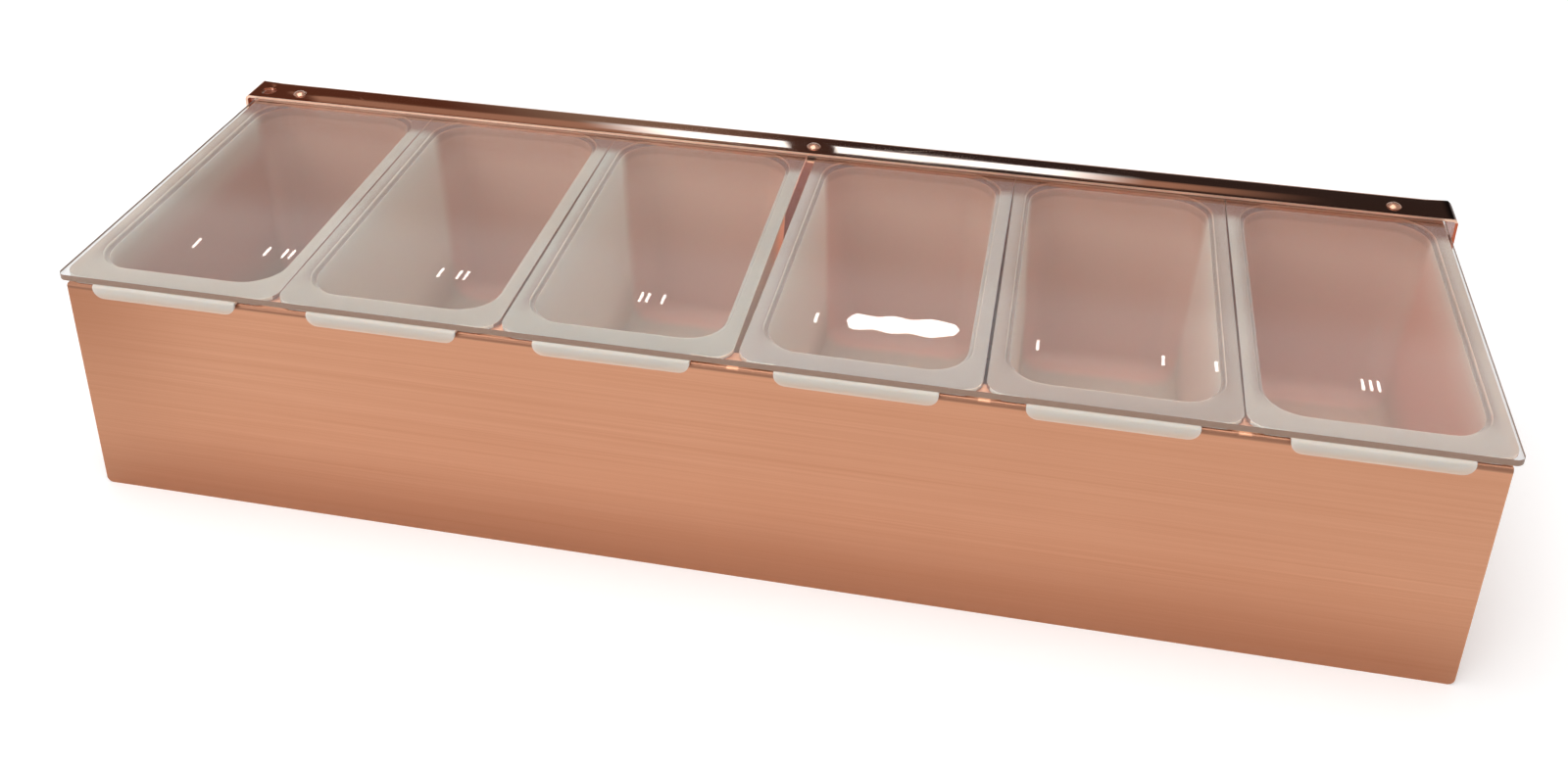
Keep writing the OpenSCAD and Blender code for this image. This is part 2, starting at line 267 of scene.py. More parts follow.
brushedCopper = {
    "base": (0.63, 0.300, 0.172, 1), "pale": (0.75, 0.395, 0.250, 1), "worn": (0.86, 0.55, 0.40, 1),
    "dull": (0.50, 0.22, 0.125, 1), "dark": (0.40, 0.165, 0.088, 1), "brow": (0.36, 0.175, 0.110, 1),
    "anisotropic": 0.55, "contrast": 2.2, "roughness": (0.30, 0.46), "bump": (0.16, 0.00004),
    "smudgeSize": 9.0, "smudgeTone": 0.20, "smudgeRough": 0.05, "wearReach": 0.0005,
    "foot": (0.038, 0.002, 0.0, 0.50), "leftEnd": (-0.165, -0.235, 0.0, 0.62),
    "leftRise": (0.034, 0.080, 0.35, 1.0), "browTop": (-0.0020, -0.0012), "browBack": (0.0018, 0.0014),
    "glintHalf": (0.0014, 0.0022), "glintTop": (-0.0004, -0.0006),
    "glints": (("insert_3", "insert_4"), ("insert_4", "insert_5"), ("insert_5", "insert_6"))}


def makeBrushedCopper(name, stretch):
    look = brushedCopper
    material, tree, shader = newMaterial(name, Metallic=1.0, Anisotropic=look["anisotropic"])
    grain = placeGroup(tree, grainGroup, Stretch=stretch, Contrast=look["contrast"])
    smudge = placeGroup(tree, smudgeGroup, Size=look["smudgeSize"])
    wear = placeGroup(tree, wearGroup, Reach=look["wearReach"])
    lined = mixColour(tree, grain.outputs[0], look["base"], look["pale"])
    toned = mixColour(tree, overlap(tree, smudge.outputs[0], look["smudgeTone"]), lined, look["dull"])
    # painted shade: darker near the foot and towards the left end
    x, y, z = placeAxes(tree)
    leftEnd = overlap(tree, ramp(tree, x, *look["leftEnd"]), ramp(tree, z, *look["leftRise"]))
    footEndShaded = mixColour(tree, joined(tree, ramp(tree, z, *look["foot"]), leftEnd), toned, look["dark"])
    # painted shade: the top bend is darkened where it lies in the lid's shade, but not where the rims'
    # corners leave it bare, so it glints there
    front, boxTop = cad["front_panel"][0].y, cad["front_panel"][1].z
    brow = overlap(tree, rampFrom(tree, z, boxTop, look["browTop"]),
                   rampFrom(tree, y, front, look["browBack"]))
    for before, after in look["glints"]:
        gap = (cad[before][1].x + cad[after][0].x) / 2
        beside = ramp(tree, calc(tree, "ABSOLUTE", calc(tree, "SUBTRACT", x, gap)), *look["glintHalf"])
        brow = overlap(tree, brow, joined(tree, beside, rampFrom(tree, z, boxTop, look["glintTop"])))
    browed = mixColour(tree, brow, footEndShaded, look["brow"])
    rubbed = overlap(tree, wear.outputs[0], opposite(tree, brow))
    tree.links.new(mixColour(tree, rubbed, browed, look["worn"]), shader.inputs["Base Color"])
    low, high = look["roughness"]
    rough = calc(tree, "MULTIPLY_ADD", grain.outputs[0], high - low, low)
    tree.links.new(calc(tree, "MULTIPLY_ADD", smudge.outputs[0], look["smudgeRough"], rough),
                   shader.inputs["Roughness"])
    addBump(tree, shader, grain.outputs[1], look["bump"])
    return material


mirrorCopper = {
    "base": (0.70, 0.38, 0.27, 1), "warm": (0.64, 0.32, 0.21, 1), "worn": (0.92, 0.62, 0.48, 1),
    "raw": (0.60, 0.135, 0.055, 1), "lip": (0.95, 0.50, 0.34, 1), "shade": (0.30, 0.155, 0.11, 1),
    "edge": (0.98, 0.66, 0.50, 1), "dusk": (0.10, 0.045, 0.032, 1),
    "smudgeSize": 18.0, "wearReach": 0.0004, "scratchRough": 0.15, "edgeRough": 0.30,
    "turned": -0.3, "lipTurned": -0.5, "endReach": 0.0042, "lipReach": 0.0014, "frontReach": 0.0003,
    "earTop": 0.0014, "rawMetal": 0.35, "tipX": (-0.0045, -0.0020), "tipY": (0.0006, 0.0014),
    "tipZ": (-0.0028, -0.0016), "ripple": (10.0, 50.0, 50.0), "bump": (0.12, 0.0006)}


def makeMirrorCopper(name, roughness, shade=0.0):
    # polished outside; the faces turned in towards the box were never buffed and stay redder
    look = mirrorCopper
    material, tree, shader = newMaterial(name)
    smudge = placeGroup(tree, smudgeGroup, Size=look["smudgeSize"])
    scratch = placeGroup(tree, scratchGroup)
    wear = placeGroup(tree, wearGroup, Reach=look["wearReach"])
    toned = mixColour(tree, smudge.outputs[0], look["base"], look["warm"])
    # painted shade: shade darkens the piece toward the shade colour; the rivets use it to look dimmer
    shaded = mixColour(tree, shade, toned, look["shade"])
    worn = mixColour(tree, overlap(tree, wear.outputs[0], 1 - shade), shaded, look["worn"])
    stripLow, stripHigh = cad["hinge_strip"]
    x, y, z = placeAxes(tree)
    faceX, faceY, faceZ = normalAxes(tree)
    # the ears' inner faces and the lip's inner face
    inwardX = calc(tree, "LESS_THAN", overlap(tree, faceX, calc(tree, "SIGN", x)), look["turned"])
    inwardZ = calc(tree, "LESS_THAN", faceZ, look["turned"])
    onEnd = calc(tree, "GREATER_THAN", calc(tree, "ABSOLUTE", x), stripHigh.x - look["endReach"])
    rawEnd = overlap(tree, joined(tree, inwardX, inwardZ), onEnd)
    innerLip = overlap(tree, calc(tree, "LESS_THAN", faceY, look["lipTurned"]),
                       calc(tree, "GREATER_THAN", y, stripHigh.y - look["lipReach"]))
    # painted highlight: the front edge is painted paler and made rougher so it shows as a bright line, but
    # raw down the right ear
    front = overlap(tree, calc(tree, "LESS_THAN", y, stripLow.y + look["frontReach"]),
                    calc(tree, "LESS_THAN", faceY, look["turned"]))
    onRightEar = overlap(tree, calc(tree, "GREATER_THAN", x, 0.0),
                         calc(tree, "LESS_THAN", z, stripHigh.z - look["earTop"]))
    frontEdge = overlap(tree, front, opposite(tree, onRightEar))
    rawMask = joined(tree, joined(tree, rawEnd, innerLip), overlap(tree, front, onRightEar))
    edged = mixColour(tree, frontEdge, worn, look["edge"])
    raw = mixColour(tree, rawMask, edged, mixColour(tree, innerLip, look["raw"], look["lip"]))
    tree.links.new(calc(tree, "MULTIPLY_ADD", rawMask, look["rawMetal"] - 1, 1.0), shader.inputs["Metallic"])
    # painted reflection: the strip's right end, where it turns down, is painted dark for the dark that it
    # mirrors
    tip = overlap(tree, rampFrom(tree, x, stripHigh.x, look["tipX"]),
                  rampFrom(tree, y, stripLow.y, look["tipY"]))
    duskTip = overlap(tree, tip, rampFrom(tree, z, stripHigh.z, look["tipZ"]))
    tree.links.new(mixColour(tree, duskTip, raw, look["dusk"]), shader.inputs["Base Color"])
    low, high = roughness
    rough = calc(tree, "MULTIPLY_ADD", smudge.outputs[0], high - low, low)
    scuffed = calc(tree, "MULTIPLY_ADD", scratch.outputs[0], look["scratchRough"], rough)
    tree.links.new(calc(tree, "MULTIPLY_ADD", frontEdge, look["edgeRough"], scuffed),
                   shader.inputs["Roughness"])
    ripple = noiseValue(tree, stretched(tree, objectPlace(tree), look["ripple"]), 1.0, 1.0)
    addBump(tree, shader, ripple, look["bump"])
    return material


frosted = {
    "wall": (0.64, 0.37, 0.28, 1), "deep": (0.66, 0.37, 0.285, 1), "grey": (0.78, 0.65, 0.55, 1),
    "lit": (0.78, 0.70, 0.61, 1), "floor": (0.50, 0.405, 0.325, 1), "cloud": (0.8, 0.74, 0.66, 1),
    "rimSide": (0.30, 0.13, 0.085, 1), "rimInner": (0.23, 0.155, 0.125, 1), "tab": (0.70, 0.61, 0.545, 1),
    "tabFoot": (0.66, 0.50, 0.40, 1), "rearRim": (0.155, 0.048, 0.024, 1), "rearWall": (0.50, 0.25, 0.165, 1),
    "underStrip": (0.50, 0.17, 0.085, 1), "gapFace": (0.84, 0.60, 0.48, 1), "gapDeep": (0.80, 0.20, 0.07, 1),
    "ior": 1.22, "coat": 0.03, "coatRough": 0.15, "roughness": (0.42, 0.54), "bump": (0.06, 0.00006),
    "scatter": 0.9, "scatterDepth": 0.005, "scatterReach": (1.0, 0.75, 0.6),
    "cloudSize": 22.0, "cloudDetail": 3.0, "cloudTone": 0.03, "fineSize": 900.0,
    "turned": (0.85, 0.0), "underRim": (-0.0016, -0.0028), "side": (0.022, 0.031), "rightPale": 0.45,
    "rowEnd": (-0.007, -0.026), "deepCloud": 0.012, "deepTop": -0.012, "deepFoot": 0.016,
    "upward": (0.05, 0.60), "floorTop": (0.030, 0.020), "floorFade": (0.030, 0.003),
    "litTop": (-0.022, -0.001), "tintTop": (-0.001, -0.008), "sideSkin": 0.0011, "sideTurned": 0.6,
    "innerFade": (0.0030, -0.0004), "innerStart": (0.0, 0.012, 0.0, 0.75), "bothSidesFrom": 0.07,
    "rearCloud": 0.004, "rear": (-0.0140, -0.0065), "stripShade": (-0.0010, 0.0012),
    "rearTop": (-0.020, -0.002), "rearTurned": 0.7, "rearUnder": (-0.002, -0.0055),
    "outside": (-0.0002, -0.0012), "tabFade": (-0.0015, -0.0046), "gapReach": 0.013, "gapTurned": -0.5,
    "gapGlow": (0.026, 0.046, 0.0, 0.30)}


def makeFrosted(name, insertBox, tint, rim):
    # painted light and shade, standing for light through the plastic: pale where the rim is thick or held off
    # the metal, copper-tinted where the box would show through the thin walls, greyer where the neighbour's
    # wall stands behind
    look = frosted
    low, high = insertBox
    halfWide = (high.x - low.x) / 2
    front = cad["front_panel"][0].y
    material, tree, shader = newMaterial(
        name, IOR=look["ior"], Coat_Weight=look["coat"], Coat_Roughness=look["coatRough"],
        Subsurface_Weight=look["scatter"], Subsurface_Scale=look["scatterDepth"],
        Subsurface_Radius=look["scatterReach"])
    x, y, z = placeAxes(tree)
    faceX, faceY, faceZ = normalAxes(tree)
    cloud = noiseValue(tree, objectPlace(tree), look["cloudSize"], look["cloudDetail"])
    turned = ramp(tree, faceZ, *look["turned"])
    below = joined(tree, turned, rampFrom(tree, z, high.z, look["underRim"]))
    fromMiddle = calc(tree, "SUBTRACT", x, (low.x + high.x) / 2)
    offMiddle = calc(tree, "ABSOLUTE", fromMiddle)
    # painted light and shade: walls greyer at the sides, the floor's tone set against the light from above
    onRight = calc(tree, "GREATER_THAN", fromMiddle, 0.0)
    rightShare = calc(tree, "MULTIPLY_ADD", onRight, look["rightPale"] - 1, 1.0)
    side = overlap(tree, ramp(tree, offMiddle, *look["side"]), rightShare)
    inRow = rampFrom(tree, calc(tree, "ABSOLUTE", x), cad["body_wrap"][1].x, look["rowEnd"])
    cloudy = calc(tree, "MULTIPLY_ADD", cloud, look["deepCloud"], z)
    deep = ramp(tree, cloudy, high.z + look["deepTop"], low.z + look["deepFoot"])
    pink = mixColour(tree, deep, look["wall"], look["deep"])
    wall = mixColour(tree, overlap(tree, side, inRow), pink, look["grey"])
    upward = overlap(tree, ramp(tree, faceZ, *look["upward"]), rampFrom(tree, z, low.z, look["floorTop"]))
    floorward = joined(tree, upward, rampFrom(tree, z, low.z, look["floorFade"]))
    based = mixColour(tree, floorward, wall, look["floor"])
    # painted light: the side walls are painted paler just under the rim
    litSide = overlap(tree, side, rampFrom(tree, z, high.z, look["litTop"]))
    inner = mixColour(tree, litSide, based, look["lit"])
    # painted shade: each insert's own tint, below the rim
    tinted = mixColour(tree, rampFrom(tree, z, high.z, look["tintTop"]), inner,
                       mixColour(tree, 1.0, inner, tint, "MULTIPLY"))
    outerSide = overlap(tree, calc(tree, "GREATER_THAN", offMiddle, halfWide - look["sideSkin"]),
                        calc(tree, "GREATER_THAN", calc(tree, "ABSOLUTE", faceX), look["sideTurned"]))
    edged = mixColour(tree, outerSide, tinted, look["rimSide"])
    # painted shade: the flat rim darkens softly towards the opening, on the left only in the inserts left of
    # the fifth
    halfOpen = halfWide - (insertLook["sideRim"] - insertLook["roll"]) * mm
    openFront = front + (insertLook["rimFront"] + insertLook["frontRim"]) * mm
    inwardFade = overlap(tree, rampFrom(tree, offMiddle, halfOpen, look["innerFade"]),
                         rampFrom(tree, y, openFront, look["innerStart"], *look["innerStart"][2:]))
    if low.x < look["bothSidesFrom"]:
        inwardFade = overlap(tree, inwardFade, calc(tree, "LESS_THAN", fromMiddle, 0.0))
    lit = mixColour(tree, below, mixColour(tree, inwardFade, rim, look["rimInner"]), edged)
    # painted light: the rear is painted with the copper tint that the flange under the rim and the back wall
    # give it, and painted brighter where the strip's shadow falls
    cloudyY = calc(tree, "MULTIPLY_ADD", cloud, look["rearCloud"], y)
    rear = rampFrom(tree, cloudyY, cad["rear_panel"][0].y, look["rear"])
    shadow = rampFrom(tree, y, cad["hinge_strip"][0].y, look["stripShade"])
    rearTop = mixColour(tree, shadow, look["rearRim"], look["underStrip"])
    rearWall = mixColour(tree, rampFrom(tree, z, high.z, look["rearTop"]), pink, look["rearWall"])
    rearBelow = joined(tree, overlap(tree, turned, look["rearTurned"]),
                       rampFrom(tree, z, high.z, look["rearUnder"]))
    backed = mixColour(tree, rear, lit, mixColour(tree, rearBelow, rearTop, rearWall))
    # painted light: the tab is painted pale at its top, and lower down with the copper tint of the front wall
    tab = mixColour(tree, rampFrom(tree, z, high.z, look["tabFade"]), look["tab"], look["tabFoot"])
    faced = mixColour(tree, rampFrom(tree, y, front, look["outside"]), backed, tab)
    # painted light: the walls that face each other across the wide middle gap are painted the palest, and an
    # emission makes them glow at its far end
    outward = calc(tree, "LESS_THAN", overlap(tree, faceX, calc(tree, "SIGN", x)), look["gapTurned"])
    nearGap = calc(tree, "LESS_THAN", calc(tree, "ABSOLUTE", x), look["gapReach"])
    gapWall = overlap(tree, overlap(tree, outward, nearGap), below)
    gapped = mixColour(tree, gapWall, faced, look["gapFace"])
    glow = overlap(tree, gapWall, ramp(tree, y, *look["gapGlow"]))
    tree.links.new(mixColour(tree, glow, (0, 0, 0, 1), look["gapDeep"]), shader.inputs["Emission Color"])
    shader.inputs["Emission Strength"].default_value = 1.0
    tree.links.new(mixColour(tree, overlap(tree, cloud, look["cloudTone"]), gapped, look["cloud"]),
                   shader.inputs["Base Color"])
    smooth, coarse = look["roughness"]
    tree.links.new(calc(tree, "MULTIPLY_ADD", cloud, coarse - smooth, smooth), shader.inputs["Roughness"])
    addBump(tree, shader, noiseValue(tree, objectPlace(tree), look["fineSize"]), look["bump"])
    return material


clearSheet = {
    "tint": (0.985, 0.985, 0.98, 1), "shade": (0.90, 0.90, 0.90, 1), "ior": 1.49, "roughness": 0.005,
    "scratches": (30.0, 90.0, 90.0), "scratchRough": 0.03, "smudgeSize": 11.0, "smudgeBias": 0.55,
    "smudgeRough": 0.012, "waveSize": 26.0, "bump": (0.02, 0.0005)}


def makeClearSheet(name):
    # lamps shine straight through the sheet, everything else sees it as real acrylic
    look = clearSheet
    material, tree, shader = newMaterial(name, Base_Color=look["tint"], IOR=look["ior"],
                                         Transmission_Weight=1.0)
    scratch = placeGroup(tree, scratchGroup, Stretch=look["scratches"])
    smudge = placeGroup(tree, smudgeGroup, Size=look["smudgeSize"], Bias=look["smudgeBias"])
    rough = calc(tree, "MULTIPLY_ADD", smudge.outputs[0], look["smudgeRough"], look["roughness"])
    tree.links.new(calc(tree, "MULTIPLY_ADD", scratch.outputs[0], look["scratchRough"], rough),
                   shader.inputs["Roughness"])
    addBump(tree, shader, noiseValue(tree, objectPlace(tree), look["waveSize"], 1.0), look["bump"])
    through = addNode(tree, "ShaderNodeBsdfTransparent", None, Color=look["shade"])
    path = addNode(tree, "ShaderNodeLightPath")
    mix = addNode(tree, "ShaderNodeMixShader", None, i0=path.outputs["Is Shadow Ray"], i1=shader.outputs[0],
                  i2=through.outputs[0])
    tree.links.new(mix.outputs[0], tree.nodes["Material Output"].inputs[0])
    return material


sheetEdge = {"tone": (0.27, 0.165, 0.115, 1), "pale": (0.36, 0.235, 0.175, 1), "saw": (700.0, 700.0, 2600.0),
             "contrast": 1.4, "roughness": 0.24, "sawRough": 0.15, "bump": (0.15, 0.00005)}


def makeSheetEdge(name):
    # painted reflection: the sheet's sawn edge is satin and painted with the copper's colour that it gathers
    look = sheetEdge
    material, tree, shader = newMaterial(name, IOR=clearSheet["ior"])
    sawn = placeGroup(tree, grainGroup, Stretch=look["saw"], Contrast=look["contrast"])
    tree.links.new(mixColour(tree, sawn.outputs[0], look["tone"], look["pale"]), shader.inputs["Base Color"])
    tree.links.new(calc(tree, "MULTIPLY_ADD", sawn.outputs[0], look["sawRough"], look["roughness"]),
                   shader.inputs["Roughness"])
    addBump(tree, shader, sawn.outputs[1], look["bump"])
    return material


steel = {"dark": (0.42, 0.42, 0.43, 1), "pale": (0.62, 0.62, 0.63, 1), "grain": (900.0, 900.0, 900.0),
         "contrast": 1.4, "roughness": 0.35}


def makeWasherSteel(name):
    material, tree, shader = newMaterial(name, Metallic=1.0, Roughness=steel["roughness"])
    grain = placeGroup(tree, grainGroup, Stretch=steel["grain"], Contrast=steel["contrast"])
    tone = mixColour(tree, grain.outputs[0], steel["dark"], steel["pale"])
    tree.links.new(tone, shader.inputs["Base Color"])
    return material


# how the grain runs on each sheet, how rough each polished piece is, and how far painted shade dims the
# rivets
grainRuns = {"front": (9.0, 1600.0, 1600.0), "ends": (1600.0, 1600.0, 9.0), "bush": (700.0, 60.0, 60.0)}
polish = {"strip": (0.02, 0.07), "rivet": (0.16, 0.26), "rivetShade": 0.4}

copperAlongX = makeBrushedCopper("copperFront", grainRuns["front"])
copperEnds = makeBrushedCopper("copperWrap", grainRuns["ends"])
copperBush = makeBrushedCopper("copperBush", grainRuns["bush"])
stripMirror = makeMirrorCopper("stripMirror", polish["strip"])
rivetMirror = makeMirrorCopper("rivetMirror", polish["rivet"], polish["rivetShade"])
lidClear = makeClearSheet("lidClear")
lidEdge = makeSheetEdge("lidEdge")
washerSteel = makeWasherSteel("washerSteel")
print("materials built")


# Pieces

def newPiece(name, mesh, material, body, slotName, *nodes):
    piece = bpy.data.objects.new(name, mesh)
    bpy.context.scene.collection.objects.link(piece)
    mesh.materials.clear()
    mesh.materials.append(material)
    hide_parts(*nodes)
    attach(piece, body)
    return piece


mergeLook = {"distance": 0.002, "flatAngle": 0.5}  # millimetres and degrees


def mergedCopy(name):
    # the CAD node's own shape, with its loose triangles joined into clean faces
    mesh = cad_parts[name].data.copy()
    mesh.name = name + "Dressed"
    bm = bmesh.new()
    bm.from_mesh(mesh)
    bmesh.ops.remove_doubles(bm, verts=bm.verts, dist=mergeLook["distance"] * mm)
    bmesh.ops.dissolve_limit(bm, angle_limit=math.radians(mergeLook["flatAngle"]), verts=bm.verts,
                             edges=bm.edges)
    return mesh, bm


def finishMesh(mesh, bm, sharpAngle):
    bm.to_mesh(mesh)
    bm.free()
    for face in mesh.polygons:
        face.use_smooth = True
    mesh.set_sharp_from_angle(angle=math.radians(sharpAngle))


def softenEdges(piece, width, angle, segments=2):
    bevel = piece.modifiers.new("softEdges", "BEVEL")
    bevel.width = width * mm
    bevel.segments = segments
    bevel.limit_method = "ANGLE"
    bevel.angle_limit = math.radians(angle)
    bevel.harden_normals = True
    bevel.use_clamp_overlap = True


def dressNode(node, pieceName, material, body, slotName, softness, sharpAngle):
    mesh, bm = mergedCopy(node)
    finishMesh(mesh, bm, sharpAngle)
    piece = newPiece(pieceName, mesh, material, body, slotName, node)
    softenEdges(piece, softness, sharpAngle)
    return piece


# how far each kind of edge is broken, in millimetres, and from what angle an edge counts as sharp
edgeBreaks = {"sheet": 0.2, "lid": 0.25, "strip": 0.15, "pin": 0.15, "bush": 0.2, "washer": 0.1,
              "rivet": 0.12}
sheetSharp = 32
turnedSharp = 40

for node, pieceName, material in (("front_panel", "frontPanel", copperAlongX),
                                  ("rear_panel", "rearPanel", copperAlongX),
                                  ("body_wrap", "bodyWrap", copperEnds)):
    dressNode(node, pieceName, material, "box", "brushed_copper", edgeBreaks["sheet"], sheetSharp)
print("box dressed")


# Inserts, in millimetres and degrees
insertLook = {"wall": 1.3, "roll": 1.5, "rollSteps": 6, "floorRadius": 6.8, "floorSteps": 5, "draft": 3.0,
              "wallSteps": 4, "cornerSteps": 8, "sideCuts": 9, "rimCorner": 6.5, "openingCorner": 12.5,
              "sideRim": 5.9, "rimFront": 1.0, "frontRim": 9.7, "rearRim": 8.4,
              "tabWidth": 51.0, "tabDrop": 4.6, "tabBend": 0.9, "tabBendSteps": 4, "tabCorner": 3.6,
              "tabCornerSteps": 6, "sharp": 60, "softness": 0.35, "softAngle": 50, "softSteps": 3}
near = 0.01 * mm  # closer than this, two places count as one
# painted shade: each seat's tint shades and warms the inside of its insert, darkest in the first, beside the
# copper end
insertSeats = [
    {"node": "insert_1", "bow": 0.16, "turn": 0.10, "slide": 0.0,
     "tint": (0.80, 0.73, 0.68, 1), "rim": (0.40, 0.34, 0.285, 1)},
    {"node": "insert_2", "bow": 0.20, "turn": 0.12, "slide": 0.0,
     "tint": (0.95, 0.91, 0.88, 1), "rim": (0.365, 0.31, 0.26, 1)},
    {"node": "insert_3", "bow": 0.20, "turn": 0.38, "slide": 0.22,
     "tint": (1, 1, 1, 1), "rim": (0.35, 0.31, 0.265, 1)},
    {"node": "insert_4", "bow": 0.20, "turn": -0.42, "slide": -0.30,
     "tint": (0.97, 0.94, 0.93, 1), "rim": (0.345, 0.285, 0.25, 1)},
    {"node": "insert_5", "bow": 0.20, "turn": -0.06, "slide": 0.0,
     "tint": (1, 0.96, 0.95, 1), "rim": (0.325, 0.245, 0.205, 1)},
    {"node": "insert_6", "bow": 0.20, "turn": -0.06, "slide": 0.1,
     "tint": (1.0, 0.82, 0.77, 1), "rim": (0.385, 0.315, 0.27, 1)},
]


def roundedLoop(bm, low, high, z, radius, steps):
    # one rounded rectangle of edges, without its face
    grid = bmesh.ops.create_grid(bm, x_segments=1, y_segments=1, size=0.5)
    corners = grid["verts"]
    size = Vector((high[0] - low[0], high[1] - low[1], 1))
    middle = Vector(((low[0] + high[0]) / 2, (low[1] + high[1]) / 2, z))
    bmesh.ops.scale(bm, vec=size, verts=corners)
    bmesh.ops.translate(bm, vec=middle, verts=corners)
    others = set(bm.faces) - {corners[0].link_faces[0]}
    bmesh.ops.bevel(bm, geom=corners, offset=radius, offset_type="OFFSET", affect="VERTICES", segments=steps,
                    profile=0.5, material=-1)
    loopFace = max(set(bm.faces) - others, key=lambda face: len(face.verts))
    bmesh.ops.delete(bm, geom=[loopFace], context="FACES_ONLY")


def cutThrough(bm, axis, place):
    # one straight cut right through the mesh, at a place along an axis
    point, normal = Vector(), Vector()
    point[axis], normal[axis] = place, 1
    bmesh.ops.bisect_plane(bm, geom=bm.verts[:] + bm.edges[:] + bm.faces[:], plane_co=point, plane_no=normal)


def extruded(bm, edges):
    made = bmesh.ops.extrude_edge_only(bm, edges=edges)["geom"]
    newEdges = [part for part in made if isinstance(part, bmesh.types.BMEdge)]
    newVerts = [part for part in made if isinstance(part, bmesh.types.BMVert)]
    return newEdges, newVerts


def boundaryAt(bm, test):
    return [edge for edge in bm.edges if edge.is_boundary and all(test(v.co) for v in edge.verts)]


def faceUp(bm, faces):
    # turns the whole shell over where these faces look down
    if sum(face.normal.z for face in faces) < 0:
        bmesh.ops.reverse_faces(bm, faces=bm.faces[:])


def insertSizes(node):
    # in metres, with the insert centred on x = 0
    look = insertLook
    low, high = cad[node]
    halfRim = (high.x - low.x) / 2
    rimFront = cad["front_panel"][0].y + look["rimFront"] * mm
    return {"place": (low.x + high.x) / 2, "top": high.z, "floor": low.z + look["wall"] * mm,
            "tabFront": low.y, "halfTab": look["tabWidth"] / 2 * mm,
            "halfRim": halfRim, "rimFront": rimFront, "rimRear": high.y,
            "halfOpen": halfRim - (look["sideRim"] - look["roll"]) * mm,
            "openFront": rimFront + (look["frontRim"] - look["roll"]) * mm,
            "openRear": high.y - (look["rearRim"] - look["roll"]) * mm,
            "openCorner": (look["openingCorner"] + look["roll"]) * mm}


def drawRim(bm, size, bow):
    look = insertLook
    front, rear, half = size["rimFront"], size["rimRear"], size["halfRim"]
    roundedLoop(bm, (-half, front), (half, rear), size["top"], look["rimCorner"] * mm, look["cornerSteps"])
    roundedLoop(bm, (-size["halfOpen"], size["openFront"]), (size["halfOpen"], size["openRear"]), size["top"],
                size["openCorner"], look["cornerSteps"])
    # the same cuts in both loops: the tab's two sides and the long sides' subdivisions
    for x in (-size["halfTab"], size["halfTab"]):
        cutThrough(bm, 0, x)
    start = size["openFront"] + size["openCorner"]
    span = size["openRear"] - size["openFront"] - 2 * size["openCorner"]
    for k in range(1, look["sideCuts"]):
        cutThrough(bm, 1, start + span * k / look["sideCuts"])
    bmesh.ops.bridge_loops(bm, edges=bm.edges[:])
    bmesh.ops.recalc_face_normals(bm, faces=bm.faces[:])
    faceUp(bm, bm.faces)
    # the long sides draw in a little
    for vert in bm.verts:
        if abs(abs(vert.co.x) - half) < near:
            along = (vert.co.y - (rear + front) / 2) / ((rear - front) / 2)
            vert.co.x -= math.copysign(bow * mm * (1 - along * along), vert.co.x)


def foldTab(bm, size):
    # forward over the front wall, round a bend and down
    look = insertLook
    halfTab, rimFront = size["halfTab"], size["rimFront"]
    edges = boundaryAt(bm, lambda c: abs(c.y - rimFront) < near and abs(c.x) <= halfTab + near)
    bend = look["tabBend"] * mm
    path = [(size["tabFront"] + bend - rimFront, 0.0)]
    for k in range(look["tabBendSteps"]):
        before, after = [math.pi / 2 * step / look["tabBendSteps"] for step in (k, k + 1)]
        path.append((-bend * (math.sin(after) - math.sin(before)),
                     bend * (math.cos(after) - math.cos(before))))
    path.append((0.0, -(look["tabDrop"] * mm - bend)))
    for stepY, stepZ in path:
        edges, verts = extruded(bm, edges)
        bmesh.ops.translate(bm, vec=(0, stepY, stepZ), verts=verts)
    corners = [vert for vert in verts if abs(abs(vert.co.x) - halfTab) < near]
    bmesh.ops.bevel(bm, geom=corners, offset=look["tabCorner"] * mm, offset_type="OFFSET", affect="VERTICES",
                    segments=look["tabCornerSteps"], profile=0.5, material=-1)


def wallRings(size):
    # the height of each ring down the inside, and how far it is set in
    look = insertLook
    roll, floorR, draft = look["roll"] * mm, look["floorRadius"] * mm, look["draft"] * mm
    wallTop, wallFoot = size["top"] - roll, size["floor"] + floorR
    rings = []
    for k in range(1, look["rollSteps"] + 1):
        turn = math.pi / 2 * k / look["rollSteps"]
        rings.append((size["top"] - roll * math.sin(turn), roll * (1 - math.cos(turn))))
    for k in range(1, look["wallSteps"] + 1):
        share = k / look["wallSteps"]
        rings.append((wallTop + (wallFoot - wallTop) * share, roll + draft * share))
    for k in range(1, look["floorSteps"] + 1):
        turn = math.pi / 2 * k / look["floorSteps"]
        rings.append((wallFoot - floorR * math.sin(turn), roll + draft + floorR * (1 - math.cos(turn))))
    return rings


def drawWalls(bm, size):
    # a soft roll, a drafted wall, a round floor edge and the floor
    top, halfX, front, rear = size["top"], size["halfOpen"], size["openFront"], size["openRear"]
    edges = boundaryAt(bm, lambda c: abs(c.x) < halfX + near and front - near < c.y < rear + near
                       and abs(c.z - top) < near)
    halfY, middleY = (rear - front) / 2, (front + rear) / 2
    lastZ, lastInset = top, 0.0
    for z, inset in wallRings(size):
        edges, verts = extruded(bm, edges)
        factor = ((halfX - inset) / (halfX - lastInset), (halfY - inset) / (halfY - lastInset), 1)
        bmesh.ops.scale(bm, vec=factor, verts=verts, space=Matrix.Translation((0, -middleY, 0)))
        bmesh.ops.translate(bm, vec=(0, 0, z - lastZ), verts=verts)
        lastZ, lastInset = z, inset
    bmesh.ops.contextual_create(bm, geom=edges)
    bmesh.ops.remove_doubles(bm, verts=bm.verts[:], dist=0.1 * near)
    bmesh.ops.recalc_face_normals(bm, faces=bm.faces[:])
    faceUp(bm, [face for face in bm.faces if abs(face.calc_center_median().z - top) < near])


